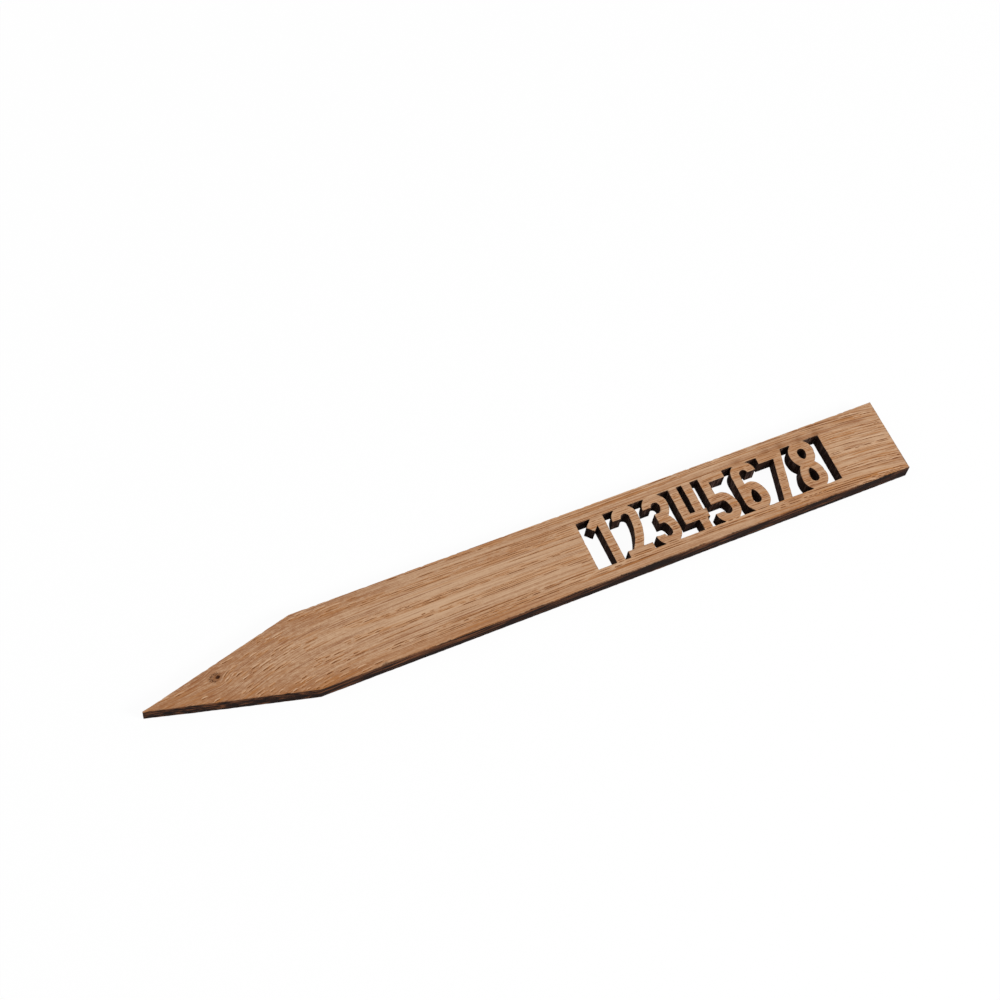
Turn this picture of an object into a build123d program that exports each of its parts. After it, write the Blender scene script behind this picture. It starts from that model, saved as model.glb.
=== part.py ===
from build123d import *
import os
from math import asin, atan2, hypot, sin

# A plant label stake: one flat oak board with a soil point and a label of numerals cut right through it.
# The stake lies on its back face with the point towards -X. The origin is under the middle of the board.

# Board
LENGTH = 194.2
WIDTH = 20.2
THICKNESS = 4.2
POINT_LENGTH = 38.6
TIP_RADIUS = 0.2

# Label window, cut through the board near its square end
END_MARGIN = 17.4
RAIL_WIDTH = 3.7

# Numerals left standing in the window
NUMERAL_WIDTH = 6.7
ONE_WIDTH = 4.4
STROKE = 2.35
NUMERAL_GAP = 1.4
END_GAP = 2.7
RAIL_OVERLAP = 0.6
WAIST_RISE = 0.4
WAIST_SPREAD = 0.5
FLAG_DROP = 3.2
CROSSBAR_DROP = 2.4
CROSSBAR_OVERHANG = 0.7

# Lines that the numerals share, measured from the middle of the window
window_height = WIDTH - 2 * RAIL_WIDTH
reach = window_height / 2 + RAIL_OVERLAP
bar = reach - STROKE / 2
side = (NUMERAL_WIDTH - STROKE) / 2
bowl = bar - side
half_width = NUMERAL_WIDTH / 2
upper_waist = WAIST_RISE + WAIST_SPREAD / 2
lower_waist = WAIST_RISE - WAIST_SPREAD / 2


def upper_arc(start, size):
    """Round end of a numeral under the far rail."""
    return CenterArc((0, bowl), side, start, size)


def lower_arc(start, size):
    """Round end of a numeral over the near rail."""
    return CenterArc((0, -bowl), side, start, size)


def upper_belly(start, size):
    """Stretch of the oval from the upper arc to the waist."""
    return EllipticalCenterArc((0, bowl), side, bowl - upper_waist, start, arc_size=size)


def lower_belly(start, size):
    """Stretch of the oval from the waist to the lower arc."""
    return EllipticalCenterArc((0, -bowl), side, bowl + lower_waist, start, arc_size=size)


def numeral_one():
    stem = (ONE_WIDTH - STROKE) / 2
    flag = (-ONE_WIDTH / 2, reach - FLAG_DROP)
    with BuildSketch() as numeral:
        with BuildLine():
            Polyline(flag, (stem, reach), (stem, -reach))
        trace(line_width=STROKE)
    return numeral.sketch


def numeral_two():
    with BuildSketch() as numeral:
        with BuildLine():
            upper_arc(180, -180)
            TangentArc((side, bowl), (-side, -reach), tangent=(0, -1))
        trace(line_width=STROKE)
        with BuildLine():
            Line((-half_width, -bar), (half_width, -bar))
        trace(line_width=STROKE)
    return numeral.sketch


def numeral_three():
    with BuildSketch() as numeral:
        with BuildLine():
            upper_arc(180, -180)
            upper_belly(0, -90)
            Line((0, upper_waist), (-STROKE / 2, upper_waist))
        trace(line_width=STROKE)
        with BuildLine():
            Line((-STROKE / 2, lower_waist), (0, lower_waist))
            lower_belly(90, -90)
            lower_arc(0, -180)
        trace(line_width=STROKE)
    return numeral.sketch


def numeral_four():
    stem = side - CROSSBAR_OVERHANG
    with BuildSketch() as numeral:
        with BuildLine():
            Polyline((-side, reach), (-side, -CROSSBAR_DROP), (half_width, -CROSSBAR_DROP))
        trace(line_width=STROKE)
        with BuildLine():
            Line((stem, reach), (stem, -reach))
        trace(line_width=STROKE)
    return numeral.sketch


def numeral_five():
    with BuildSketch() as numeral:
        with BuildLine():
            Polyline((half_width, bar), (-side, bar), (-side, lower_waist), (0, lower_waist))
            lower_belly(90, -90)
            lower_arc(0, -180)
        trace(line_width=STROKE)
    return numeral.sketch


def numeral_six():
    with BuildSketch() as numeral:
        with BuildLine():
            upper_arc(0, 180)
            Line((-side, bowl), (-side, -bowl))
        trace(line_width=STROKE)
        with BuildLine():
            lower_arc(180, 180)
            lower_belly(0, 180)
        trace(line_width=STROKE)
    return numeral.sketch


def numeral_seven():
    with BuildSketch() as numeral:
        with BuildLine():
            Polyline((-half_width, bar), (side, bar), (-side / 2, -reach))
        trace(line_width=STROKE)
    return numeral.sketch


def numeral_eight():
    with BuildSketch() as numeral:
        with BuildLine():
            upper_arc(0, 180)
            upper_belly(180, 180)
        trace(line_width=STROKE)
        with BuildLine():
            lower_arc(180, 180)
            lower_belly(0, 180)
        trace(line_width=STROKE)
    return numeral.sketch


numerals = [
    (numeral_one(), ONE_WIDTH),
    (numeral_two(), NUMERAL_WIDTH),
    (numeral_three(), NUMERAL_WIDTH),
    (numeral_four(), NUMERAL_WIDTH),
    (numeral_five(), NUMERAL_WIDTH),
    (numeral_six(), NUMERAL_WIDTH),
    (numeral_seven(), NUMERAL_WIDTH),
    (numeral_eight(), NUMERAL_WIDTH),
]
row_length = sum(width for _, width in numerals) + NUMERAL_GAP * (len(numerals) - 1)
window_length = row_length + 2 * END_GAP
window_end = LENGTH / 2 - END_MARGIN
window_start = window_end - window_length

# The sides of the point run to a sharp apex, which is then rounded back to the overall length
shoulder = -LENGTH / 2 + POINT_LENGTH
round_to_shoulder = POINT_LENGTH - TIP_RADIUS
half_angle = atan2(WIDTH / 2, round_to_shoulder) - asin(TIP_RADIUS / hypot(round_to_shoulder, WIDTH / 2))
apex = -LENGTH / 2 + TIP_RADIUS - TIP_RADIUS / sin(half_angle)

# Stake
with BuildPart() as stake:
    with BuildSketch() as board:
        with BuildLine():
            Polyline(
                (apex, 0),
                (shoulder, -WIDTH / 2),
                (LENGTH / 2, -WIDTH / 2),
                (LENGTH / 2, WIDTH / 2),
                (shoulder, WIDTH / 2),
                close=True,
            )
        make_face()
        fillet(board.vertices().sort_by(Axis.X)[0], TIP_RADIUS)
    extrude(amount=THICKNESS)
    with BuildSketch() as label:
        with Locations(((window_start + window_end) / 2, 0)):
            Rectangle(window_length, window_height)
        left = window_start + END_GAP
        for numeral, width in numerals:
            with Locations((left + width / 2, 0)):
                add(numeral, mode=Mode.SUBTRACT)
            left += width + NUMERAL_GAP
    extrude(amount=THICKNESS, mode=Mode.SUBTRACT)
stake.part.label = "stake"

os.makedirs("parts", exist_ok=True)
export_step(stake.part, "parts/stake.step")
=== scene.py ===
"""Looks of the plant label stake: bare oak with open pores, charred cut edges and cut-out numerals."""

from math import pi, radians

import bpy
import numpy as np
from mathutils import Matrix, Vector
from mathutils.geometry import delaunay_2d_cdt


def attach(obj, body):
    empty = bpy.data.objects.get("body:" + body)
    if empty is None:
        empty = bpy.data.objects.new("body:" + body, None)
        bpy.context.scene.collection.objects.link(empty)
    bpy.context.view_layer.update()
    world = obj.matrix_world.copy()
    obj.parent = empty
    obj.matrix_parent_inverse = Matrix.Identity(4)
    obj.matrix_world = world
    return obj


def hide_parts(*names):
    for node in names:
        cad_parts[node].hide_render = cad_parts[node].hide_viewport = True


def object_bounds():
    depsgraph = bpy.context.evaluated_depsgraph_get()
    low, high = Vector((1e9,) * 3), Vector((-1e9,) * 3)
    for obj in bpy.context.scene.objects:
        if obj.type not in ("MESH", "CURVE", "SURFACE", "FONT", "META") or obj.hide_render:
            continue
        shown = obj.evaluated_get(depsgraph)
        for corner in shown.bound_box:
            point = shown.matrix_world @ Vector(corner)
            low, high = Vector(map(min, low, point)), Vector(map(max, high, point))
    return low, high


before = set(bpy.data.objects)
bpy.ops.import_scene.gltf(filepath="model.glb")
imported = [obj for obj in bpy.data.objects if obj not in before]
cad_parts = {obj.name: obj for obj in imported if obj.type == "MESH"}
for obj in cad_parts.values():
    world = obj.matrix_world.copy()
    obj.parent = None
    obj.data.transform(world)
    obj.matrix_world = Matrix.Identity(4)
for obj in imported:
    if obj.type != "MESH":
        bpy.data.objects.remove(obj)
cad_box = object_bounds()

MM = 0.001
SEED = 41

# Stake, in millimetres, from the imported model
TIP = cad_box[0].x / MM
LENGTH = (cad_box[1].x - cad_box[0].x) / MM
WIDTH = (cad_box[1].y - cad_box[0].y) / MM
THICKNESS = (cad_box[1].z - cad_box[0].z) / MM
POINT_LENGTH = 38.6

# Camera, in millimetres and degrees, fitted to the corners of the stake in the photograph
CAMERA_AIM = (-0.86, 19.11, 4.2)
CAMERA_DISTANCE = 477.7
CAMERA_AZIMUTH = 34.09
CAMERA_ELEVATION = 61.27
CAMERA_ROLL = 10.88
CAMERA_LENS = 72.12
CAMERA_SENSOR = 36.0
CAMERA_CLIP = 10.0

# Lamps, in metres and watts: name, place, size and power
KEY_LAMP = ("key", (0.67, -0.74, 0.8), 0.48, 15.6)
FILL_LAMP = ("fill", (-0.5, 0.3, 0.6), 0.6, 1.8)

# Even light from all round, and the floor, in metres, with the share of it that glows
STUDIO_LIGHT = 0.28
FLOOR_HALF = 0.9
FLOOR_DROP = 0.00002
FLOOR_GLOW = 0.96

# Cut edges. Lengths are in millimetres, and char runs from 0 to 1
OUTLINE_STEP = 0.4
CORNER_TURN = radians(12)
SMOOTH_TURN = radians(32)
PLACE_DIGITS = 4
FLAT = 0.001
ARRIS = 0.04
ARRIS_DEPTH = 0.3
GAP_CHAR = 0.44
NEAR_CHAR = 0.72
FAR_CHAR = 0.2
POINT_CHAR_LOSS = 0.3
WEAR_CELL = (2.2, 2.2)
CHIP_CELL = (1.1, 0.9)
CHIP_START = 0.6
GAP_CHIP_START = 0.74
CHIP_SIZE = 0.5
KERF = 0.1
WALL_ROUGHNESS = 0.12
FRONT_ROUGHNESS_LOSS = 0.6
GAP_ROUGHNESS = 0.1
ROUGH_CELL = (5.0, 0.5, 0.4)
FINE_CELL = (0.7, 0.7, 2.4)
TIP_RISE = 0.62
TIP_RISE_RUN = 9.0
TIP_WEAR_RUN = 1.3
EDGE_ROWS = (0.0, 0.1, 0.3, 0.65)
MIDDLE_ROWS = 5
DRIFT_CELLS = 32

# Figure of the oak, in millimetres along the stake from its tip and across it from its middle
FIBRE_CLIMB = 1.2
FIBRE_FAN = 0.15
POINT_CLIMB = 3.4
POINT_CLIMB_AT = 24.0
POINT_CLIMB_RUN = 15.0
RING_FALL = 4.4
DIVE_AT = 35.0
DIVE_RUN = 19.0
END_FALL = 2.3
END_FALL_AT = 190.0
END_FALL_RUN = 18.0
SWAY = 0.25
SWAY_RUN = 19.0
SWAY_LAG = 0.2
RING_PITCH = 3.85
FIRST_RING = -6.16
RING_UNEVEN = 1.4
RING_UNEVEN_RATE = 0.55
RING_UNEVEN_START = 1.23
RING_STEP = 0.7
RING_ROUNDS = 12
RUN_OUT = 0.04
POINT_GRAIN_AT = 54.0
POINT_GRAIN_RUN = 9.0
END_GRAIN_AT = 172.0
END_GRAIN_RUN = 6.0
LABEL_GRAIN_AT = 106.0
LABEL_GRAIN_RUN = 7.0
NEAR_GRAIN_AT = -5.5
NEAR_GRAIN_RUN = 1.2

# Streaks of colour: their length, and how many more are packed in at a place, over a reach
STREAK_LENGTH = 32.0
MORE_STREAKS = ((2.6, 12.0, 28.0), (1.8, 200.0, 25.0))

# Pin knot, in millimetres
KNOT_ALONG = 18.3
KNOT_ACROSS = 1.6
KNOT_REACH = 1.5
KNOT_RADIUS = 0.4
KNOT_DEPTH = 0.22

# Open heart of the pin knot: points round it, and its form in shares of its radius
KNOT_POINTS = 14
KNOT_STRETCH = 1.25
KNOT_UNEVEN = (0.75, 1.2)
KNOT_FLOOR = 0.5
KNOT_EDGE = 1.7

# Strings of pores, in lines along the early wood of each ring. Lengths are in millimetres
PORE_LINES = 6
PORE_SPREAD = 0.5
RING_BUSY = (0.3, 1.0)
STRAY_LINES = 60
STRAY_BUSY = 0.28
CLUSTER_CELL = (4.5,)
CLUSTER_START = -0.3
CLUSTER_SEED = 10
STRING_LENGTH = 38.0
STRING_LENGTH_SPREAD = 0.5
END_STRING_LOSS = 32.0
POINT_STRING_GAIN = 8.0
STRING_GAP = 12.0
STRING_GAP_SPREAD = 0.6
POINT_STRING_GAP_LOSS = 9.0
END_STRING_GAP_LOSS = 8.0
PORE_LENGTH = 12.5
PORE_LENGTH_SPREAD = 0.5
POINT_LENGTH_SPREAD_LOSS = 0.15
LONGEST_PORE = 2.2
END_PORE_LOSS = 9.8
PORE_GAP = (0.1, 0.3)
END_PORE_GAP = 0.8
PORE_WANDER = 0.03
END_PORE_WANDER = 0.1
FAINTEST_PORE = 0.2

# Pores: open vessels, sunk in a face as grooves. Lengths are in millimetres, and tones run from 0 to 1
SHORTEST_PORE = 1.0
PORE_STATION = 1.1
PORE_STATIONS = 6
PORE_WIDTH = 0.15
BOLD_PORE_WIDTH = 0.16
POINT_PORE_WIDTH = 0.11
NEAR_BOLDNESS = 0.6
PORE_FAR_SHARE = 0.68
PORE_NEAR_SHARE = 0.32
PORE_UNEVEN = (0.75, 1.25)
PORE_FADE = (0.2, 1.1)
PORE_FADE_STEP = 1.3
POINT_PORE_FADE = 0.75
PORE_DEPTH = 0.05
BOLD_PORE_DEPTH = 0.1
RIM_TONE = 0.3
# Darkness painted on a pore's floor: its own brown, deepened as painted shade where the groove is deeper
PORE_TONE = 0.16
BOLD_PORE_TONE = 0.54
PORE_STAIN = 0.13
# Reach of the painted highlight beyond the far rim of a pore
LIP_HIGHLIGHT_REACH = 0.25
PORE_CELL = 0.05
PORE_CLEARANCE = 0.12
CUT_CLEARANCE = 0.22
CUT_MARKS = 8
GRID_MARGIN = 1.0
GRID_GUARD = 0.8

# Faces between the cuts and the pores, in millimetres
FACE_RINGS = (0.3, 0.8)
FACE_GRID = 1.5
FACE_JITTER = 0.3
FACE_SPACING = FACE_RINGS[0] * 0.8
STAIN_SPACING = PORE_STAIN * 0.45
WELD = 1e-6

# Colour map: each face in two halves, and the walls in rows, all in millimetres of a face
MAP_SIDE = 102.0
MAP_MARGIN = 2.0
MAP_HALF = 21.0
MAP_WALL_ROWS = 5
MAP_WALL = 3.5
MAP_WALL_RISE = 0.74

# Grain patterns: size of a cell along, across and into the wood. The first five count streaks along it
HAIR_CELL = (1 / 0.7, 0.25, 0.3)
STRAND_CELL = (2.0, 0.6, 0.8)
THREAD_CELL = (1 / 1.2, 0.33, 0.4)
LATE_CELL = (1 / 1.2, 0.18, 0.5)
BAND_CELL = (4.0, 2.1, 2.5)
CLOUD_CELL = (22.0, 9.0, 9.0)
MOTTLE_CELL = (0.9, 0.35, 0.4)
RIPPLE_CELL = (0.7, 0.7, 1.0)
GRIT_CELL = (0.27, 0.23, 1.0)
STREAK_CELL = (9.0, 0.8, 0.58)
SCORCH_CELL = (0.6, 0.6, 5.0)
SPECK_CELL = (0.5, 0.5, 0.5)
WORN_CELL = (4.0, 4.0, 4.0)
CUT_MARK_CELL = (0.16, 0.16, 3.0)
LATE_SHIFT = 3.5

# Values of a pattern or a paint between which a look fades in
EARLY_FADE = (0.5, 1.0)
WARM_BAND_FADE = (0.45, 0.6)
THREAD_FADE = (0.54, 0.66)
LATE_FADE = (0.6, 0.67)
OPEN_PORE_FADE = (0.32, 0.62)
GRIT_FADE = (0.48, 0.56)
STREAK_FADE = (0.48, 0.7)
SCORCH_FADE = (0.5, 0.66)
CHAR_FADE = (0.25, 0.8)

# Places on the stake where a look fades in, from and to, in millimetres
POINT_SHADE_FADE = (8.0, 84.0)
NEAR_SIDE_FADE = (0.5, 4.5)
FAR_EDGE_FADE = (8.0, 9.4)
NUMERAL_END_FADE = (175.0, 181.0)
NUMERAL_TOP_FADE = (5.5, 7.5)
NEAR_RAIL_FADE = (-6.6, -6.0)
NEAR_RAIL_PALE_FADE = (-8.8, -7.8)
FAR_RAIL_FADE = (6.6, 7.4)
FRONT_FADE = (THICKNESS - 1.0, THICKNESS - 0.5)
HEART_FADE = (0.22, 0.6)
HALO_SHIFT = 0.4
HALO_FADE = (0.9, 1.45)
SPECK_FADE = (0.4, 0.75)
FAR_HALF_FADE = (-0.4, 0.6)

# Strength of each colour that is laid over the bare oak
SUN_STRENGTH = 0.28
LATE_STRENGTH = 0.75
# Painted highlight on the far rim of each pore
LIP_HIGHLIGHT_STRENGTH = 0.85
# Dark brown of the pore floors, partly painted shade
PORE_SHADE_STRENGTH = 0.85
HALO_STRENGTH = 0.4
SPECK_STRENGTH = 0.85

# Tone of the bare oak: how much each pattern or place makes it paler
MIDDLE_TONE = 0.5
TONE_RANGE = (0.05, 0.95)
HAIR_TONE = 1.5
LABEL_HAIR_TONE = 0.4
STRAND_TONE = 0.3
BAND_TONE = 0.3
NEAR_LABEL_BAND_TONE = 0.3
CLOUD_TONE = 0.35
MOTTLE_TONE = 0.7
POINT_MOTTLE_TONE = 0.4
HEART_TONE = 0.24
HEART_HALF = 10.0
FAR_EDGE_TONE = 0.08
NEAR_SIDE_TONE = -0.08
NEAR_LABEL_TONE = 0.12
POINT_TONE = -0.28
WAVE_TONE = 0.06
WAVE_AT = 75.0
WAVE_RUN = 32.0
NEAR_RAIL_TONE = -0.12
NEAR_RAIL_PALE_TONE = 0.3
FAR_RAIL_TONE = -0.04
FAR_RAIL_EDGE_TONE = 0.2

# Soft lines along the blade: place across, reach and tone
BLADE_LINES = ((-1.3, 1.3, 0.13), (-4.8, 0.9, -0.12))

# Warmth of the numerals from the cutting: strength, and where it sets in along the stake
NUMERAL_HEAT = ((0.1, 100.0, 120.0), (0.12, 142.0, 167.0))

# Smoke marks on the label: place along, place across, reach along, reach across, strength
SMOKE_MARKS = (
    (143.6, 7.1, 1.2, 0.8, 0.2),
    (154.4, 7.2, 1.1, 0.9, 0.3),
    (162.6, 7.2, 1.3, 1.0, 0.42),
    (166.5, 7.3, 1.0, 1.2, 0.5),
    (171.9, 7.2, 1.2, 1.1, 0.48),
    (176.6, 7.2, 1.1, 1.2, 0.5),
    (158.3, 4.8, 1.3, 0.7, 0.3),
    (168.7, 1.3, 1.6, 0.9, 0.35),
)

# Surface: roughness, gloss, and height of the fine relief in millimetres
OAK_ROUGHNESS = 0.7
HAIR_ROUGHNESS = 0.2
PORE_ROUGHNESS = 0.12
CHAR_ROUGHNESS = 0.12
OAK_GLOSS = 0.03
HAIR_HEIGHT = 0.02
STRAND_HEIGHT = 0.02
THREAD_HEIGHT = -0.012
MOTTLE_HEIGHT = 0.01
STREAK_HEIGHT = 0.03
CUT_MARK_HEIGHT = 0.012


def srgb(red, green, blue):
    """Scene colour of a tone as it is seen, given from 0 to 255."""
    seen = np.array((red, green, blue)) / 255
    linear = np.where(seen > 0.04045, ((seen + 0.055) / 1.055) ** 2.4, seen / 12.92)
    return (*linear.tolist(), 1.0)


PALE_WOOD = srgb(198, 163, 131)
DARK_WOOD = srgb(154, 107, 74)
WARM_WOOD = srgb(166, 110, 62)
LATE_WOOD = srgb(132, 80, 49)
# Painted highlight on the far rim of a pore
LIP_HIGHLIGHT = srgb(214, 184, 154)
# Dark brown of a pore's floor, partly painted shade
PORE_SHADE_BROWN = srgb(98, 51, 22)
KNOT_BROWN = srgb(62, 37, 26)
SMOKE_BROWN = srgb(120, 75, 43)
CHAR_BLACK = srgb(31, 22, 20)
CHAR_BROWN = srgb(108, 68, 45)
GAP_BLACK = srgb(41, 25, 19)
GAP_GREY = srgb(86, 67, 59)
FLOOR_WHITE = srgb(245, 245, 245)
STUDIO_WHITE = srgb(255, 255, 255)


# Shader maths

class Shade:
    """A value in a finish. Arithmetic on it adds Math nodes, as numpy's tanh, exp, sin and sqrt do."""

    def __init__(self, finish, socket):
        self.finish = finish
        self.socket = socket

    def math(self, operation, *values):
        inputs = dict(enumerate(values))
        return self.finish.value("ShaderNodeMath", {"operation": operation}, inputs)

    def __add__(self, other):
        return self.math("ADD", self, other)

    def __radd__(self, other):
        return self.math("ADD", other, self)

    def __sub__(self, other):
        return self.math("SUBTRACT", self, other)

    def __rsub__(self, other):
        return self.math("SUBTRACT", other, self)

    def __mul__(self, other):
        return self.math("MULTIPLY", self, other)

    def __rmul__(self, other):
        return self.math("MULTIPLY", other, self)

    def __truediv__(self, other):
        return self.math("DIVIDE", self, other)

    def __rtruediv__(self, other):
        return self.math("DIVIDE", other, self)

    def __neg__(self):
        return self.math("MULTIPLY", self, -1.0)

    def tanh(self):
        return self.math("TANH", self)

    def exp(self):
        return self.math("EXPONENT", self)

    def sin(self):
        return self.math("SINE", self)

    def sqrt(self):
        return self.math("SQRT", self)

    def step(self, low, high):
        """Smooth step from 0 at low to 1 at high."""
        settings = {"interpolation_type": "SMOOTHSTEP"}
        inputs = {"Value": self, "From Min": low, "From Max": high}
        return self.finish.value("ShaderNodeMapRange", settings, inputs)


class Finish:
    """A material or world, and the one method through which every node of it is made."""

    def __init__(self, owner):
        self.owner = owner
        owner.use_nodes = True
        self.tree = owner.node_tree
        self.tree.nodes.clear()

    def node(self, kind, settings, inputs):
        made = self.tree.nodes.new(kind)
        for name, value in settings.items():
            setattr(made, name, value)
        for key, value in inputs.items():
            if isinstance(value, Shade):
                self.tree.links.new(value.socket, made.inputs[key])
            else:
                made.inputs[key].default_value = value
        return made

    def value(self, kind, settings, inputs, output=0):
        return Shade(self, self.node(kind, settings, inputs).outputs[output])

    def attribute(self, name):
        return self.value("ShaderNodeAttribute", {"attribute_name": name}, {}, "Fac")

    def noise(self, x, y, z, cell, detail=2.0, roughness=0.5):
        """Noise from about 0 to 1, with blobs of about the size of a cell."""
        scaled = {axis: place / size for axis, (place, size) in enumerate(zip((x, y, z), cell))}
        place = self.value("ShaderNodeCombineXYZ", {}, scaled)
        inputs = {"Vector": place, "Scale": 1.0, "Detail": detail, "Roughness": roughness}
        return self.value("ShaderNodeTexNoise", {}, inputs)

    def mix(self, factor, first, second):
        return self.value("ShaderNodeMix", {"data_type": "RGBA"}, {0: factor, 6: first, 7: second}, 2)

    def seen(self):
        """1 for what the camera sees, also in a gloss or through glass, and 0 for light on the stake."""
        paths = self.node("ShaderNodeLightPath", {}, {}).outputs
        seen = Shade(self, paths["Is Camera Ray"])
        for ray in ("Is Glossy Ray", "Is Transmission Ray"):
            seen = seen.math("MAXIMUM", seen, Shade(self, paths[ray]))
        return seen

    def surface(self, shader, output="ShaderNodeOutputMaterial"):
        self.node(output, {}, {"Surface": shader})
        return self.owner


# Figure of the wood: the same lines place the pores and draw the colour

def around_knot(along, across):
    """Sideways push of the grain where it flows round the pin knot."""
    run = along - KNOT_ALONG
    rise = across - KNOT_ACROSS
    reach = KNOT_REACH * KNOT_REACH
    return rise * reach / (run * run + rise * rise + reach)


def grain_bend(along, across):
    """Sideways drift that fibres and rings share: a slow sway, a fall at the square end and the knot."""
    fall = END_FALL * np.exp((along - END_FALL_AT) / END_FALL_RUN)
    sway = SWAY * np.sin(along / SWAY_RUN + across * SWAY_LAG)
    return fall + sway - around_knot(along, across)


def fibre_line(along, across):
    """Distance across the stake that stays the same along one fibre."""
    climb = (FIBRE_CLIMB - FIBRE_FAN * across) * np.tanh((along - DIVE_AT) / DIVE_RUN)
    at_point = POINT_CLIMB * np.tanh((along - POINT_CLIMB_AT) / POINT_CLIMB_RUN)
    return across - climb - at_point + grain_bend(along, across)


def ring_line(along, across):
    """Distance across the stake that stays the same along one growth ring."""
    return across + RING_FALL * np.tanh((along - DIVE_AT) / DIVE_RUN) + grain_bend(along, across)


def grain_run(along):
    """Distance along the fibres in streak lengths, which are shorter where the fibres dive at the ends."""
    run = along / STREAK_LENGTH
    for more, place, reach in MORE_STREAKS:
        run = run + more * np.tanh((along - place) / reach)
    return run


def porous_band(ring):
    """From 0 in dense late wood to 1 in the porous early wood of a ring."""
    uneven = RING_UNEVEN * np.sin(ring * RING_UNEVEN_RATE + RING_UNEVEN_START)
    phase = (ring - FIRST_RING) * (2 * pi / RING_PITCH) - uneven
    return 0.5 + 0.5 * np.sin(phase + pi / 2)


def point_grain(along):
    """From 0 where the vessels lie flat in the face to 1 at the point, where they dive through it."""
    return 0.5 - 0.5 * np.tanh((along - POINT_GRAIN_AT) / POINT_GRAIN_RUN)


def end_grain(along):
    """From 0 where the vessels lie flat in the face to 1 at the square end, where they run out of it."""
    return 0.5 + 0.5 * np.tanh((along - END_GRAIN_AT) / END_GRAIN_RUN)


def label_grain(along):
    """From 0 in the blade to 1 in the label, where more vessels are cut open."""
    return 0.5 + 0.5 * np.tanh((along - LABEL_GRAIN_AT) / LABEL_GRAIN_RUN)


def near_grain(across):
    """From 0 over most of the width to 1 along the near side, where the vessels are bolder."""
    return 0.5 - 0.5 * np.tanh((across - NEAR_GRAIN_AT) / NEAR_GRAIN_RUN)


def drift(seed, cell, *places):
    """Smooth random field from -1 to 1, with one free value at each corner of its cells."""
    table = np.random.default_rng(SEED + seed).uniform(-1, 1, (DRIFT_CELLS,) * len(places))
    places = [place / size for place, size in zip(places, cell)]
    whole = [np.floor(place).astype(int) for place in places]
    part = [place - corner for place, corner in zip(places, whole)]
    part = [p * p * (3 - 2 * p) for p in part]
    total = 0.0
    for corner in np.ndindex(*(2,) * len(places)):
        share = 1.0
        for step, p in zip(corner, part):
            share = share * (p if step else 1 - p)
        total = total + share * table[tuple((w + step) % DRIFT_CELLS for w, step in zip(whole, corner))]
    return total


# Outline of the front face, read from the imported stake

def front_loops(node):
    """Closed loops round the front face, with the wood on the left: the board, then each gap."""
    mesh = node.data
    places = np.round(np.array([v.co for v in mesh.vertices]) / MM, PLACE_DIGITS)
    corners, index = np.unique(places, axis=0, return_inverse=True)
    front = corners[:, 2] > THICKNESS - FLAT
    sides = set()
    for face in mesh.polygons:
        ring = [int(index[v]) for v in face.vertices]
        if front[ring].all():
            sides.update(zip(ring, ring[1:] + ring[:1]))
    following = {a: b for a, b in sides if (b, a) not in sides}
    loops = []
    while following:
        start = min(following)
        loop = [start]
        point = following.pop(start)
        while point != start:
            loop.append(point)
            point = following.pop(point)
        loops.append(corners[loop, :2])
    return sorted(loops, key=lambda loop: -np.ptp(loop[:, 0]))


def smooth_outline(loop):
    """The loop with its arcs rounded out and its corners kept, as evenly spaced points."""
    step = np.roll(loop, -1, 0) - loop
    length = np.hypot(*step.T)[:, None]
    heading = step / length
    came = np.roll(heading, 1, 0)
    turn = np.arctan2(came[:, 0] * heading[:, 1] - came[:, 1] * heading[:, 0], (came * heading).sum(1))
    sharp = (np.abs(turn) > CORNER_TURN)[:, None]
    flow = came * np.roll(length, 1, 0) + heading * length
    flow = flow / np.hypot(*flow.T)[:, None]
    leaving = np.where(sharp, heading, flow) * length
    arriving = np.roll(np.where(sharp, came, flow), -1, 0) * length
    points = []
    for start, end, a, b, run in zip(loop, np.roll(loop, -1, 0), leaving, arriving, length[:, 0]):
        t = np.linspace(0, 1, max(1, round(run / OUTLINE_STEP)), endpoint=False)[:, None]
        keep = (1 + 2 * t) * (1 - t) ** 2
        points.append(keep * start + (1 - keep) * end + t * (1 - t) ** 2 * a - t * t * (1 - t) * b)
    return np.concatenate(points)


def into_wood(points):
    """Unit directions across an outline, towards the wood."""
    along = np.roll(points, -1, 0) - np.roll(points, 1, 0)
    along = along / np.hypot(*along.T)[:, None]
    return np.stack([-along[:, 1], along[:, 0]], 1)


def inside(points, outlines):
    """Whether each point lies in the wood: inside the board and outside every gap."""
    within = np.zeros(len(points), bool)
    for outline in outlines:
        near = np.all((points >= outline.min(0)) & (points <= outline.max(0)), axis=1)
        x, y = points[near].T[:, :, None]
        x0, y0 = outline.T[:, None, :]
        x1, y1 = np.roll(outline, -1, 0).T[:, None, :]
        crosses = (y0 > y) != (y1 > y)
        with np.errstate(divide="ignore", invalid="ignore"):
            crossing = x0 + (y - y0) * (x1 - x0) / (y1 - y0)
        within[near] ^= (np.sum(crosses & (x < crossing), axis=1) % 2).astype(bool)
    return within


# Pores and the pin knot, as grooves in a face

class Groove:
    """A closed rim in a face, the sunken line inside it, and the outer edge of the stain and of the painted
    highlight on the far rim.
    """

    def __init__(self, rim, rim_tone, lip, spine, depth, tone, edge, closed=False):
        self.rim = rim
        self.rim_tone = rim_tone
        self.lip = lip
        self.spine = spine
        self.depth = depth
        self.tone = tone
        self.edge = edge
        self.closed = closed


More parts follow.
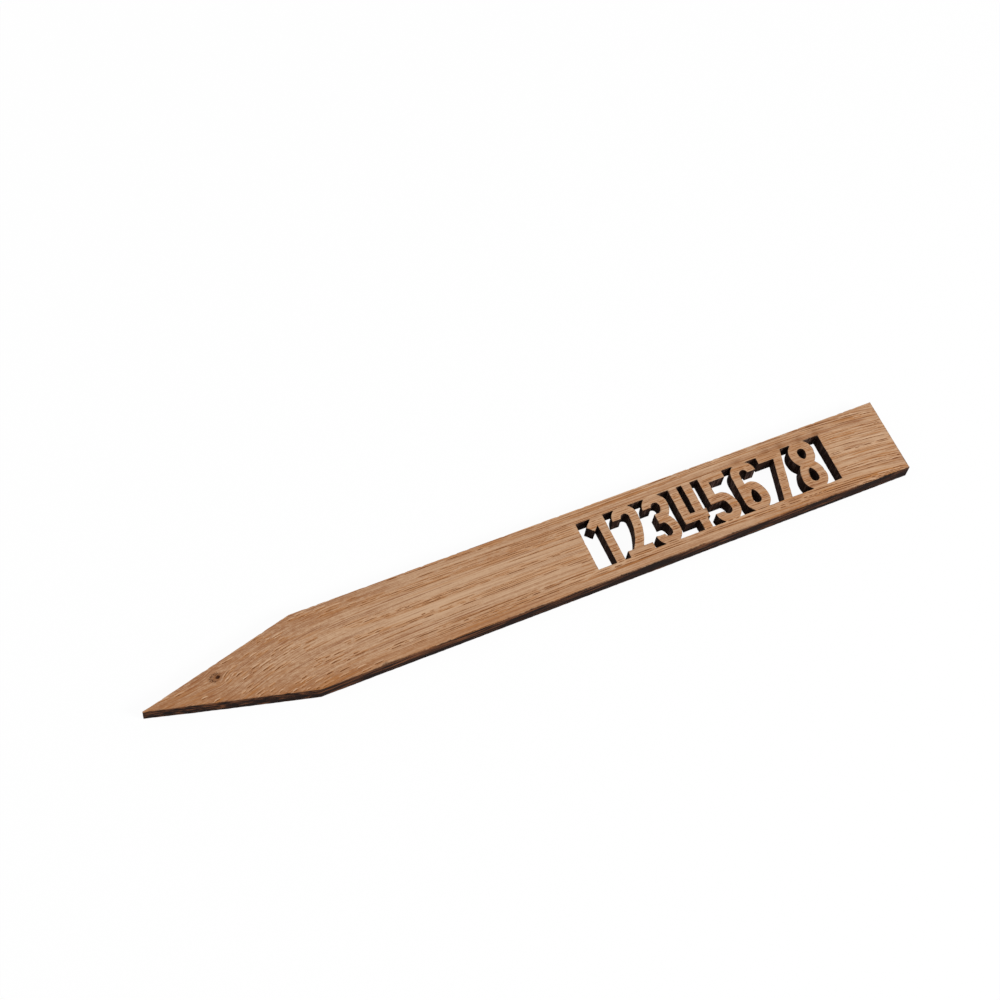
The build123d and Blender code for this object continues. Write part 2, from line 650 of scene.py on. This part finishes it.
def pore_groove(random, line, width, bold):
    """A vessel cut open at the face: its near wall is steep and its far wall slopes up to a rim that
    carries a painted highlight.
    """
    heading = line[2:] - line[:-2]
    heading = heading / np.hypot(*heading.T)[:, None]
    across = np.stack([-heading[:, 1], heading[:, 0]], 1)
    spine = line[1:-1]
    count = len(spine)
    dive = point_grain(line[0, 0] - TIP)
    ends = max(dive, end_grain(line[0, 0] - TIP))
    swell = np.sin(pi * (np.arange(count) + 1) / (count + 1)) ** 0.5
    far = (width * PORE_FAR_SHARE * swell * random.uniform(*PORE_UNEVEN, count))[:, None] * across
    near = (width * PORE_NEAR_SHARE * swell * random.uniform(*PORE_UNEVEN, count))[:, None] * across
    rim = np.concatenate([line[:1], spine - near, line[-1:], (spine + far)[::-1]])
    tip, side = np.zeros(1), np.full(count, RIM_TONE)
    rim_tone = np.concatenate([tip, side, tip, side])
    # Painted highlight along the far rim, stronger where the vessels dive at the ends
    lip = (0.4 + 0.6 * ends) * random.uniform(0.3 * ends, 1.0) * random.uniform(0.5, 1.0, count)
    lip_highlight_on_rim = np.concatenate([np.zeros(count + 2), lip])
    highlight_reach = PORE_STAIN + (LIP_HIGHLIGHT_REACH - PORE_STAIN) * ends
    edge = np.concatenate([spine - near - PORE_STAIN * across, spine + far + highlight_reach * across])

    reach = np.hypot(*(spine - line[0]).T)
    marks = np.arange(0, reach[-1] + 2 * PORE_FADE_STEP, PORE_FADE_STEP)
    fade = np.interp(reach, marks, random.uniform(*PORE_FADE, len(marks)))
    fade = fade * (1 - POINT_PORE_FADE * dive * np.linspace(0, 1, count))
    depth = (PORE_DEPTH + BOLD_PORE_DEPTH * bold) * swell * (0.4 + 0.6 * fade)
    # The floor is painted darker with the same boldness and fade that set its depth: the pore's own brown,
    # deepened as painted shade
    tone = RIM_TONE + (PORE_TONE + BOLD_PORE_TONE * bold) * fade
    return Groove(rim, rim_tone, lip_highlight_on_rim, spine, depth, tone, edge)


def knot_groove(random):
    """The open heart of the pin knot."""
    turn = np.linspace(0, 2 * pi, KNOT_POINTS, endpoint=False)
    middle = np.array([TIP + KNOT_ALONG, KNOT_ACROSS])
    spokes = np.stack([KNOT_STRETCH * np.cos(turn), np.sin(turn)], 1)
    rim = middle + spokes * KNOT_RADIUS * random.uniform(*KNOT_UNEVEN, (len(turn), 1))
    spine = middle + spokes[::2] * KNOT_RADIUS * KNOT_FLOOR
    edge = middle + spokes * KNOT_RADIUS * KNOT_EDGE
    flat = np.zeros(len(rim))
    depth = np.full(len(spine), KNOT_DEPTH)
    return Groove(rim, flat + RIM_TONE, flat, spine, depth, 1.0, edge, closed=True)


def grain_heading(along, across):
    """Unit direction of the fibres at a place."""
    step = 0.01
    level = fibre_line(along, across)
    by_along = (fibre_line(along + step, across) - level) / step
    by_across = (fibre_line(along, across + step) - level) / step
    heading = np.array([by_across, -by_along])
    return heading / np.hypot(*heading)


def on_ring(along, ring):
    """Place across the stake of a growth ring."""
    across = ring
    for _ in range(RING_ROUNDS):
        across = across + RING_STEP * (ring - ring_line(along, across))
    return across


def porous_rings():
    """The middle of the porous early wood of every ring that crosses the stake."""
    ring = np.arange(-WIDTH, WIDTH, 0.01)
    band = porous_band(ring)
    return ring[1:-1][(band[1:-1] > band[:-2]) & (band[1:-1] >= band[2:])]


def along_fibres(start, length):
    """Points along a fibre from its start."""
    count = max(3, round(length / PORE_STATION) + 1)
    line = [start]
    for _ in range(count - 1):
        line.append(line[-1] + grain_heading(line[-1][0] - TIP, line[-1][1]) * length / (count - 1))
    return np.array(line)


def pore_strings(random):
    """Pores strung along the rings with gaps between: place along, ring, length and boldness of each."""
    lines = []
    for number, ring in enumerate(porous_rings()):
        busy = random.uniform(*RING_BUSY)
        lines += [(number, ring, random.normal(0, PORE_SPREAD), busy) for _ in range(PORE_LINES)]
    lines += [(0, random.uniform(-WIDTH, WIDTH), 0.0, STRAY_BUSY) for _ in range(STRAY_LINES)]
    pores = []
    for number, ring, offset, busy in lines:
        along = random.uniform(-STRING_GAP, 0)
        while along < LENGTH:
            dive = point_grain(along)
            tail = end_grain(along)
            ends = max(dive, 0.8 * tail)
            crowd = label_grain(along)
            bold = random.uniform(FAINTEST_PORE + 0.1 * crowd + 0.2 * dive, 1.0)
            bold = bold * (0.6 + 0.4 * max(busy, crowd)) * (1 - 0.06 * crowd)
            string = STRING_LENGTH - END_STRING_LOSS * ends + POINT_STRING_GAIN * dive
            stop = along + string * random.lognormal(0, STRING_LENGTH_SPREAD)
            while along < stop:
                spread = PORE_LENGTH_SPREAD - POINT_LENGTH_SPREAD_LOSS * dive
                times = min(LONGEST_PORE, random.lognormal(0, spread))
                length = (PORE_LENGTH - END_PORE_LOSS * ends) * times
                wander = random.normal(0, PORE_WANDER + END_PORE_WANDER * ends)
                beside = ring + offset * (1 + 0.4 * dive) + wander
                clump = drift(CLUSTER_SEED + number, CLUSTER_CELL, along) > CLUSTER_START
                if dive < 0.5 or (busy > STRAY_BUSY and clump):
                    pores.append((along, beside, length, bold))
                along += length + random.uniform(*PORE_GAP) + END_PORE_GAP * ends * random.uniform()
            gap = STRING_GAP - POINT_STRING_GAP_LOSS * dive - END_STRING_GAP_LOSS * tail
            along += gap * random.lognormal(0, STRING_GAP_SPREAD) / (busy + 0.5 * crowd)
    return [pores[i] for i in random.permutation(len(pores))]


def free_stretches(free, shortest):
    """First and last numbers of the runs of free places that are long enough for a pore."""
    ends = np.flatnonzero(np.diff(np.concatenate([[0], free.astype(int), [0]])))
    return [(a, b) for a, b in zip(ends[::2], ends[1::2]) if (b - a) * PORE_CELL >= shortest]


def scatter_pores(random, outlines, arris_loops, grooves):
    """The strings of pores as grooves, cut short where they would meet an edge or each other."""
    low = np.array([TIP, -WIDTH / 2]) - GRID_MARGIN
    high = low + np.array([LENGTH, WIDTH]) + 2 * GRID_MARGIN
    taken = np.zeros(((high - low) / PORE_CELL).astype(int), bool)

    def cells(points):
        return ((points - low) / PORE_CELL).astype(int).T

    def mark(points, reach):
        around = int(np.ceil(reach / PORE_CELL))
        i, j = cells(points)
        for a in range(-around, around + 1):
            for b in range(-around, around + 1):
                if a * a + b * b <= around * around:
                    taken[i + a, j + b] = True

    for outline in outlines:
        between = np.linspace(0, 1, CUT_MARKS, endpoint=False)[:, None, None]
        mark((outline + between * (np.roll(outline, -1, 0) - outline)).reshape(-1, 2), CUT_CLEARANCE)
    for groove in grooves:
        mark(groove.rim, KNOT_RADIUS)
    for along, ring, length, bold in pore_strings(random):
        across = on_ring(along, ring)
        dive = point_grain(along)
        line = along_fibres(np.array([TIP + along, across]), length)
        bold = min(1.0, bold * (1 + NEAR_BOLDNESS * near_grain(across)))
        width = PORE_WIDTH + BOLD_PORE_WIDTH * bold + POINT_PORE_WIDTH * dive
        count = max(2, round(length / PORE_CELL))
        place = np.linspace(0, len(line) - 1, count)
        close = np.stack([np.interp(place, np.arange(len(line)), c) for c in line.T], 1)
        within = np.all((close > low + GRID_GUARD) & (close < high - GRID_GUARD), axis=1)
        close = close[within]
        shortest = SHORTEST_PORE * (1 + 0.3 * dive)
        for first, last in free_stretches(~taken[tuple(cells(close))], shortest):
            stretch = close[first:last]
            if not inside(stretch[len(stretch) // 2][None], outlines)[0]:
                continue
            mark(stretch, width / 2 + PORE_CLEARANCE)
            stations = max(PORE_STATIONS, round(len(stretch) * PORE_CELL / PORE_STATION) + 1)
            spots = np.linspace(0, len(stretch) - 1, stations).round().astype(int)
            groove = pore_groove(random, stretch[spots], width, bold)
            between = (groove.rim + np.roll(groove.rim, -1, 0)) / 2
            if inside(np.concatenate([groove.rim, between]), arris_loops).all():
                grooves.append(groove)
    return grooves


# Stake mesh

class Board:
    """Points, painted values, faces and their places in the colour map, while the stake is put together."""

    # The last paint is a painted highlight on the far rim of each pore
    # The pore paint gives the stain round each pore and its dark floor, which is partly painted shade
    PAINTS = ("char", "pore", "gap", "lip")

    def __init__(self):
        self.points = []
        self.paint = []
        self.faces = []
        self.places = []

    def add(self, plan, height, **paint):
        """Adds points with their paint, which is 0 where it isn't given, and returns their numbers."""
        first = sum(len(p) for p in self.points)
        count = len(plan)
        self.points.append(np.column_stack([plan, np.broadcast_to(height, count)]))
        values = [np.broadcast_to(paint.get(name, 0.0), count) for name in self.PAINTS]
        self.paint.append(np.stack(values, 1))
        return np.arange(first, first + count)

    def join(self, faces, places):
        """Adds faces, with the places of their corners in the colour map."""
        self.faces += faces.tolist()
        self.places.append(places.reshape(-1, 2) / MAP_SIDE)


def wall_rows():
    """Heights of the rows of points up a cut edge, from the front face to the back."""
    near = np.array(EDGE_ROWS)
    middle = np.linspace(near[-1], THICKNESS - near[-1], MIDDLE_ROWS + 2)[1:-1]
    return THICKNESS - np.concatenate([near, middle, THICKNESS - near[::-1]])


def off_tip(x):
    """From 0 at the very tip to 1 a little way up the stake."""
    return 1 - np.exp((TIP - x) / TIP_WEAR_RUN)


def arris_char(outline, gap):
    """How far char reaches onto the face: most along the near side and least along the far side."""
    if gap:
        return GAP_CHAR
    near = 0.5 + 0.5 * into_wood(outline)[:, 1]
    reach = FAR_CHAR + (NEAR_CHAR - FAR_CHAR) * near ** 0.5
    return reach * off_tip(outline[:, 0]) * (1 - POINT_CHAR_LOSS * point_grain(outline[:, 0] - TIP))


def wall_inset(outline, height, gap):
    """How far a cut edge lies behind the drawn outline: rough char, and in front a worn and chipped arris.

    The cut round the board narrows with depth, so its wall leans in towards the front. The tip stays put.
    """
    x, y = outline.T
    level = np.full(len(x), height)
    up = height / THICKNESS
    if gap:
        lean, roughness, chip_start = 0.0, GAP_ROUGHNESS, GAP_CHIP_START
    else:
        lean, chip_start = KERF * up, CHIP_START
        roughness = WALL_ROUGHNESS * (1 - FRONT_ROUGHNESS_LOSS * up)
    rough = drift(1, ROUGH_CELL, x, y, level - RUN_OUT * x)
    fine = drift(2, FINE_CELL, x, y, level)
    worn = 0.6 + 0.4 * drift(3, WEAR_CELL, x, y)
    chip = np.maximum(0, drift(4, CHIP_CELL, x, y) - chip_start) * CHIP_SIZE
    fade = max(0.0, 1 - (THICKNESS - height) / ARRIS_DEPTH)
    inset = lean + roughness * (0.5 + 0.25 * rough + 0.25 * fine) + fade * (ARRIS * worn + chip)
    return inset * off_tip(x)


def cut_edges(board, outlines):
    """Walls of every cut. Returns the numbers of the points on the front and back arrises, by loop."""
    heights = wall_rows()
    arrises = [], []
    steps = [np.hypot(*(np.roll(outline, -1, 0) - outline).T) for outline in outlines]
    row_length = sum(step.sum() for step in steps) / MAP_WALL_ROWS
    scale = (MAP_SIDE - MAP_MARGIN) / (row_length + OUTLINE_STEP)
    travelled = 0.0
    for number, (outline, step) in enumerate(zip(outlines, steps)):
        gap = number > 0
        inward = into_wood(outline)
        rows = []
        for row, height in enumerate(heights):
            plan = outline + inward * wall_inset(outline, height, gap)[:, None]
            on_face = row in (0, len(heights) - 1)
            char = arris_char(outline, gap) if on_face else 1.0
            rows.append(board.add(plan, height, char=char, gap=float(gap)))
        start = travelled + np.concatenate([[0.0], np.cumsum(step)[:-1]])
        travelled += step.sum()
        map_row = np.minimum(start // row_length, MAP_WALL_ROWS - 1)
        left = (start - map_row * row_length) * scale
        right = left + step * scale
        base = 4 * MAP_HALF + map_row * MAP_WALL
        for upper, lower, top, bottom in zip(rows, rows[1:], heights, heights[1:]):
            corners = [(left, top), (left, bottom), (right, bottom), (right, top)]
            places = [np.stack([u, base + v * MAP_WALL_RISE], 1) for u, v in corners]
            faces = np.stack([upper, lower, np.roll(lower, -1), np.roll(upper, -1)], 1)
            board.join(faces, np.stack(places, 1))
        arrises[0].append(rows[0])
        arrises[1].append(rows[-1])
    return arrises


def face_filling(random, outlines):
    """Points that keep the triangles of a face even: rings along the cuts and a loose grid."""
    filling = []
    for reach in FACE_RINGS:
        for outline in outlines:
            every = max(1, round(reach / OUTLINE_STEP))
            filling.append((outline + into_wood(outline) * reach)[::every])
    x = np.arange(TIP, TIP + LENGTH, FACE_GRID)
    y = np.arange(-WIDTH / 2, WIDTH / 2, FACE_GRID)
    grid = np.stack(np.meshgrid(x, y), -1).reshape(-1, 2)
    filling.append(grid + random.uniform(-FACE_JITTER, FACE_JITTER, grid.shape))
    filling = np.concatenate(filling)
    return filling[inside(filling, outlines)]


def apart_from(points, others, reach):
    """Whether each point lies further than reach from all the others."""
    taken = set()
    for i, j in np.floor(others / reach).astype(int).tolist():
        taken.update((i + a, j + b) for a in (-1, 0, 1) for b in (-1, 0, 1))
    return np.array([(i, j) not in taken for i, j in np.floor(points / reach).astype(int).tolist()])


def cover(board, arris, height, down, random, grooves, outlines):
    """One face of the board, from its arris loops inwards, with its grooves sunk into it."""
    plan = []
    number = []
    sides = []

    def lay(places, numbers, closed):
        first = sum(len(p) for p in plan)
        plan.append(places)
        number.append(numbers)
        count = len(places)
        ring = np.arange(count) + first
        if closed is not None:
            last = count if closed else count - 1
            sides.extend(zip(ring[:last].tolist(), np.roll(ring, -1)[:last].tolist()))

    all_points = np.concatenate(board.points)
    edge = np.concatenate([all_points[loop, :2] for loop in arris])
    for loop in arris:
        lay(all_points[loop, :2], loop, True)
    for groove in grooves:
        lay(groove.rim, board.add(groove.rim, height, pore=groove.rim_tone, lip=groove.lip), True)
        sunk = height + down * groove.depth
        lay(groove.spine, board.add(groove.spine, sunk, pore=groove.tone), groove.closed)
    busy = np.concatenate([edge] + [g.rim for g in grooves] + [g.spine for g in grooves])
    rings = np.concatenate([g.edge for g in grooves])
    rings = rings[inside(rings, outlines) & apart_from(rings, busy, STAIN_SPACING)]
    filling = face_filling(random, outlines)
    filling = filling[apart_from(filling, np.concatenate([busy, rings]), FACE_SPACING)]
    for loose in (rings, filling):
        lay(loose, board.add(loose, height), None)

    plan = np.concatenate(plan)
    number = np.concatenate(number)
    laid = [Vector(p) for p in plan.tolist()]
    points, _, triangles, origin, _, _ = delaunay_2d_cdt(laid, sides, [], 0, WELD)
    back = np.array([number[o[0]] if o else -1 for o in origin])
    for i in np.flatnonzero(back < 0):
        back[i] = board.add(np.array([points[i][:]]), height)[0]
    triangles = np.array(triangles)
    where = np.array([p[:] for p in points])
    ends = np.cumsum([len(loop) for loop in arris])
    loops = np.split(plan[:ends[-1]], ends[:-1])
    triangles = triangles[inside(where[triangles].mean(1), loops)]
    if down > 0:
        triangles = triangles[:, ::-1]
    corners = where[triangles]
    half = (corners[..., 0].mean(1) > 0).astype(int)
    left = np.where(half, 0.0, TIP) - MAP_MARGIN
    base = (half + (2 if down > 0 else 0)) * MAP_HALF + MAP_HALF / 2
    board.join(back[triangles], corners + np.stack([-left, base], 1)[:, None])


def build_stake():
    """The whole stake as one closed mesh, with its paints and its colour map."""
    outlines = [smooth_outline(loop) for loop in front_loops(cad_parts["stake"])]
    board = Board()
    arrises = cut_edges(board, outlines)
    for side, arris in enumerate(arrises):
        random = np.random.default_rng(SEED + side)
        grooves = [knot_groove(random)] if side == 0 else []
        arris_loops = [np.concatenate(board.points)[loop, :2] for loop in arris]
        grooves = scatter_pores(random, outlines, arris_loops, grooves)
        height, down = ((THICKNESS, -1), (0.0, 1))[side]
        cover(board, arris, height, down, random, grooves, outlines)
    points = np.concatenate(board.points)
    rise = TIP_RISE * np.exp((TIP - points[:, 0]) / TIP_RISE_RUN)
    points[:, 2] += rise * (1 - points[:, 2] / THICKNESS)
    paint = np.concatenate(board.paint)
    mesh = bpy.data.meshes.new("stake")
    mesh.from_pydata((points * MM).tolist(), [], board.faces)
    for column, name in enumerate(Board.PAINTS):
        layer = mesh.attributes.new(name, "FLOAT", "POINT")
        layer.data.foreach_set("value", paint[:, column].astype(np.float32))
    colour_map = mesh.uv_layers.new(name="OFBake")
    colour_map.uv.foreach_set("vector", np.concatenate(board.places).astype(np.float32).ravel())
    mesh.validate()
    mesh.shade_smooth()
    mesh.set_sharp_from_angle(angle=SMOOTH_TURN)
    stake = bpy.data.objects.new("oak_stake", mesh)
    bpy.context.scene.collection.objects.link(stake)
    return stake


# Finishes

class OakGrain:
    """Places on the stake, in millimetres, and the patterns that the finish of the oak is mixed from."""

    def __init__(self, finish):
        position = finish.node("ShaderNodeTexCoord", {}, {}).outputs["Object"]
        split = finish.node("ShaderNodeSeparateXYZ", {}, {0: Shade(finish, position)})
        self.x, self.y, self.z = (Shade(finish, socket) / MM for socket in split.outputs)
        self.along = self.x - TIP
        run = grain_run(self.along)
        ring = ring_line(self.along, self.y)
        fibre = fibre_line(self.along, self.y)
        layer = self.z - RUN_OUT * self.along

        self.hair = finish.noise(run, fibre, self.z, HAIR_CELL, roughness=0.65)
        self.strand = finish.noise(run, ring, self.z, STRAND_CELL)
        thread = finish.noise(run, fibre, self.z, THREAD_CELL, detail=1)
        self.late = finish.noise(run, fibre, self.z + LATE_SHIFT, LATE_CELL, detail=1)
        self.band = finish.noise(run, ring, self.z, BAND_CELL)
        self.cloud = finish.noise(self.along, self.y, self.z, CLOUD_CELL, detail=1)
        self.mottle = finish.noise(self.along, self.y, self.z, MOTTLE_CELL, roughness=0.7)
        self.streak = finish.noise(self.along, self.y, layer, STREAK_CELL, detail=3, roughness=0.6)

        self.early = porous_band(ring)
        self.dive = point_grain(self.along)
        self.crowd = label_grain(self.along)
        taper = self.along / POINT_LENGTH
        from_near_side = self.y + 0.5 * WIDTH * taper.math("MINIMUM", taper, 1.0)
        self.near_side = 1.0 - from_near_side.step(*NEAR_SIDE_FADE)
        self.far_edge = self.y.step(*FAR_EDGE_FADE)
        self.before_end = 1.0 - self.along.step(*NUMERAL_END_FADE)
        self.on_front = self.z.step(*FRONT_FADE)

        warmth = 0.1 + 0.4 * self.early + 0.35 * self.crowd + 0.4 * self.near_side
        self.warm_thread = thread.step(*THREAD_FADE) * warmth
        self.pore = finish.attribute("pore")
        self.open_pore = self.pore.step(*OPEN_PORE_FADE)


def wood_tone(grain):
    """How pale the bare oak is, from 0 to 1."""
    y, crowd, dive = grain.y, grain.crowd, grain.dive
    hair_tone = HAIR_TONE + LABEL_HAIR_TONE * crowd
    band_tone = BAND_TONE + NEAR_LABEL_BAND_TONE * grain.near_side * crowd
    mottle_tone = MOTTLE_TONE + POINT_MOTTLE_TONE * dive
    tone = MIDDLE_TONE + hair_tone * (grain.hair - 0.5) + STRAND_TONE * (grain.strand - 0.5)
    tone = tone + band_tone * (grain.band - 0.5) + CLOUD_TONE * (grain.cloud - 0.5)
    tone = tone + mottle_tone * (grain.mottle - 0.5)

    off_heart = y / HEART_HALF
    tone = tone + HEART_TONE * (1.0 - off_heart * off_heart) + FAR_EDGE_TONE * grain.far_edge
    tone = tone + grain.near_side * (NEAR_SIDE_TONE + NEAR_LABEL_TONE * crowd)
    tone = tone + POINT_TONE * (1.0 - grain.along.step(*POINT_SHADE_FADE))
    tone = tone + WAVE_TONE * np.sin((grain.along - WAVE_AT) / WAVE_RUN)
    for place, reach, paler in BLADE_LINES:
        off_line = (y - place) / reach
        tone = tone + paler * np.exp(-(off_line * off_line)) * (1.0 - crowd) * (1.0 - dive)

    beside_numerals = crowd * grain.before_end
    near_rail = 1.0 - y.step(*NEAR_RAIL_FADE)
    near_rail_tone = NEAR_RAIL_TONE + NEAR_RAIL_PALE_TONE * y.step(*NEAR_RAIL_PALE_FADE)
    far_rail_tone = FAR_RAIL_TONE * y.step(*FAR_RAIL_FADE) + FAR_RAIL_EDGE_TONE * grain.far_edge
    tone = tone + beside_numerals * (near_rail * near_rail_tone + far_rail_tone)
    return tone.step(*TONE_RANGE)


def bare_wood(finish, grain):
    """Colour of the planed oak, warmer in the early wood, on the numerals and along the near side."""
    wood = finish.mix(wood_tone(grain), DARK_WOOD, PALE_WOOD)
    warm_band = grain.early.step(*EARLY_FADE) * grain.band.step(*WARM_BAND_FADE) * (1.0 - grain.far_edge)
    warm_band = warm_band * (0.07 + 0.4 * grain.strand) * (1.0 - 0.5 * grain.dive)
    wood = finish.mix(warm_band, wood, WARM_WOOD)
    heat = 0.0
    for strength, start, end in NUMERAL_HEAT:
        heat = heat + strength * grain.along.step(start, end)
    on_numerals = grain.before_end * (1.0 - grain.near_side) * (1.0 - grain.y.step(*NUMERAL_TOP_FADE))
    sunned = SUN_STRENGTH * grain.near_side * (1.0 - 0.8 * grain.crowd) * (1.0 - 0.4 * grain.dive)
    wood = finish.mix(heat * on_numerals + sunned, wood, WARM_WOOD)
    wood = finish.mix(grain.warm_thread, wood, WARM_WOOD)
    late_line = (grain.late + 0.02 * grain.crowd).step(*LATE_FADE)
    return finish.mix(late_line * LATE_STRENGTH, wood, LATE_WOOD)


def with_pores(finish, grain, wood):
    """Open pores: a warm stain round each, a painted highlight on its far rim, and a dark brown floor that
    is partly painted shade.
    """
    stain = grain.pore.step(0.0, RIM_TONE) * (0.5 + 0.15 * grain.dive)
    wood = finish.mix(stain, wood, WARM_WOOD)
    # Painted highlight on the far rim of each pore
    wood = finish.mix(finish.attribute("lip") * LIP_HIGHLIGHT_STRENGTH, wood, LIP_HIGHLIGHT)
    # Dark pore floor: the pore's own brown, partly painted shade
    return finish.mix(grain.open_pore * PORE_SHADE_STRENGTH, wood, PORE_SHADE_BROWN)


def with_knot(finish, grain, wood):
    """The pin knot: a brown halo, dark specks round its far half, and the heart."""
    beside = grain.along - KNOT_ALONG
    above = grain.y - KNOT_ACROSS
    behind = beside + HALO_SHIFT
    ripple = 0.5 * (finish.noise(grain.along, grain.y, 0.0, RIPPLE_CELL) - 0.5)
    from_heart = np.sqrt(0.6 * beside * beside + above * above) + ripple
    from_halo = np.sqrt(0.5 * behind * behind + above * above) + ripple
    halo = (1.0 - from_halo.step(*HALO_FADE)) * grain.on_front
    wood = finish.mix(halo * HALO_STRENGTH, wood, SMOKE_BROWN)
    grit = finish.noise(grain.along, grain.y, 0.0, GRIT_CELL, detail=1)
    far_half = 1.0 - (beside - 0.9 * above).step(*FAR_HALF_FADE)
    specks = grit.step(*GRIT_FADE) * halo * from_halo.step(*SPECK_FADE) * far_half
    wood = finish.mix(specks * SPECK_STRENGTH, wood, KNOT_BROWN)
    heart = (1.0 - from_heart.step(*HEART_FADE)) * grain.on_front
    return finish.mix(heart, wood, KNOT_BROWN)


def with_smoke(finish, grain, wood):
    """Brown smoke that the cutting left on the front of the label."""
    smoke = 0.0
    for mark_along, mark_across, reach_along, reach_across, strength in SMOKE_MARKS:
        off_along = (grain.along - mark_along) / reach_along
        off_across = (grain.y - mark_across) / reach_across
        smoke = smoke + strength * np.exp(-(off_along * off_along + off_across * off_across))
    return finish.mix(smoke * grain.on_front * (0.5 + grain.strand), wood, SMOKE_BROWN)


def char_share(finish, grain):
    """From 0 on bare wood to 1 on char, with a speckled edge between them."""
    speck = finish.noise(grain.x, grain.y, grain.z, SPECK_CELL)
    worn = finish.noise(grain.along, grain.y, grain.z, WORN_CELL)
    char = finish.attribute("char") + 0.5 * (speck - 0.5) + 0.7 * (worn - 0.5)
    return char.step(*CHAR_FADE)


def char_colour(finish, grain):
    """Char with brown streaks along the outer walls and grey ones down the walls of the gaps."""
    up = grain.z / THICKNESS
    browned = (grain.streak + 0.08 * (up - 0.5)).step(*STREAK_FADE)
    outer = finish.mix(browned, CHAR_BLACK, CHAR_BROWN)
    scorch = finish.noise(grain.x, grain.y, grain.z, SCORCH_CELL)
    in_gap = finish.mix(scorch.step(*SCORCH_FADE), GAP_BLACK, GAP_GREY)
    return finish.mix(finish.attribute("gap"), outer, in_gap)


def oak_finish():
    """Bare oak on the faces and char on the cuts, with the relief of each."""
    finish = Finish(bpy.data.materials.new("charred_oak"))
    grain = OakGrain(finish)
    wood = bare_wood(finish, grain)
    wood = with_pores(finish, grain, wood)
    wood = with_knot(finish, grain, wood)
    wood = with_smoke(finish, grain, wood)
    charred = char_share(finish, grain)
    colour = finish.mix(charred, wood, char_colour(finish, grain))

    roughness = OAK_ROUGHNESS + HAIR_ROUGHNESS * (grain.hair - 0.5)
    roughness = roughness + PORE_ROUGHNESS * grain.open_pore + CHAR_ROUGHNESS * charred
    wood_height = HAIR_HEIGHT * grain.hair + STRAND_HEIGHT * grain.strand
    wood_height = wood_height + THREAD_HEIGHT * grain.warm_thread + MOTTLE_HEIGHT * grain.mottle
    cut_mark = finish.noise(grain.x, grain.y, grain.z, CUT_MARK_CELL, detail=1)
    char_height = STREAK_HEIGHT * grain.streak + CUT_MARK_HEIGHT * cut_mark
    height = wood_height + charred * (char_height - wood_height)
    relief = finish.value("ShaderNodeBump", {}, {"Strength": 1.0, "Distance": MM, "Height": height})
    shader = finish.value(
        "ShaderNodeBsdfPrincipled",
        {},
        {"Base Color": colour, "Roughness": roughness, "Normal": relief, "Specular IOR Level": OAK_GLOSS},
    )
    return finish.surface(shader)


def floor_finish():
    """White paper: it keeps the soft shadow, and the camera sees the rest of it as white."""
    finish = Finish(bpy.data.materials.new("white_paper"))
    paper = finish.value("ShaderNodeBsdfDiffuse", {}, {"Color": FLOOR_WHITE})
    glow = finish.value("ShaderNodeEmission", {}, {"Strength": 1.0})
    white = finish.value("ShaderNodeMixShader", {}, {0: FLOOR_GLOW, 1: paper, 2: glow})
    return finish.surface(finish.value("ShaderNodeMixShader", {}, {0: finish.seen(), 1: paper, 2: white}))


# Stage

def add_floor():
    """A square of white paper just under the stake."""
    mesh = bpy.data.meshes.new("floor")
    signs = ((-1, -1), (1, -1), (1, 1), (-1, 1))
    corners = [(FLOOR_HALF * a, FLOOR_HALF * b, -FLOOR_DROP) for a, b in signs]
    mesh.from_pydata(corners, [], [(0, 1, 2, 3)])
    mesh.materials.append(floor_finish())
    floor = bpy.data.objects.new("floor", mesh)
    bpy.context.scene.collection.objects.link(floor)


def add_lamp(name, place, size, power):
    """A round soft lamp that faces the stake."""
    lamp = bpy.data.lights.new(name, "AREA")
    lamp.shape = "DISK"
    lamp.size = size
    lamp.energy = power
    light = bpy.data.objects.new(name, lamp)
    light.location = place
    light.rotation_euler = (-Vector(place)).to_track_quat("-Z", "Y").to_euler()
    light.visible_camera = False
    bpy.context.scene.collection.objects.link(light)


def add_world():
    """Even light from all round, and a white backdrop where the camera sees it."""
    finish = Finish(bpy.data.worlds.new("studio"))
    air = finish.value("ShaderNodeBackground", {}, {"Color": STUDIO_WHITE, "Strength": STUDIO_LIGHT})
    white = finish.value("ShaderNodeBackground", {}, {"Color": STUDIO_WHITE, "Strength": 1.0})
    both = finish.value("ShaderNodeMixShader", {}, {0: finish.seen(), 1: air, 2: white})
    bpy.context.scene.world = finish.surface(both, "ShaderNodeOutputWorld")


def add_camera():
    """The camera of the photograph."""
    turn = Matrix.Rotation(radians(-CAMERA_AZIMUTH), 4, "Z")
    tilt = Matrix.Rotation(radians(90 - CAMERA_ELEVATION), 4, "X")
    roll = Matrix.Rotation(radians(CAMERA_ROLL), 4, "Z")
    facing = turn @ tilt @ roll
    data = bpy.data.cameras.new("camera")
    data.lens = CAMERA_LENS
    data.sensor_width = CAMERA_SENSOR
    data.clip_start = CAMERA_CLIP * MM
    camera = bpy.data.objects.new("camera", data)
    back = facing @ Vector((0, 0, 1))
    camera.matrix_world = Matrix.Translation((Vector(CAMERA_AIM) + back * CAMERA_DISTANCE) * MM) @ facing
    bpy.context.scene.collection.objects.link(camera)
    bpy.context.scene.camera = camera


stake = build_stake()
stake.data.materials.append(oak_finish())
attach(stake, "root")
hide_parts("stake")

add_floor()
add_world()
add_lamp(*KEY_LAMP)
add_lamp(*FILL_LAMP)
add_camera()
bpy.context.scene.view_settings.view_transform = "Standard"
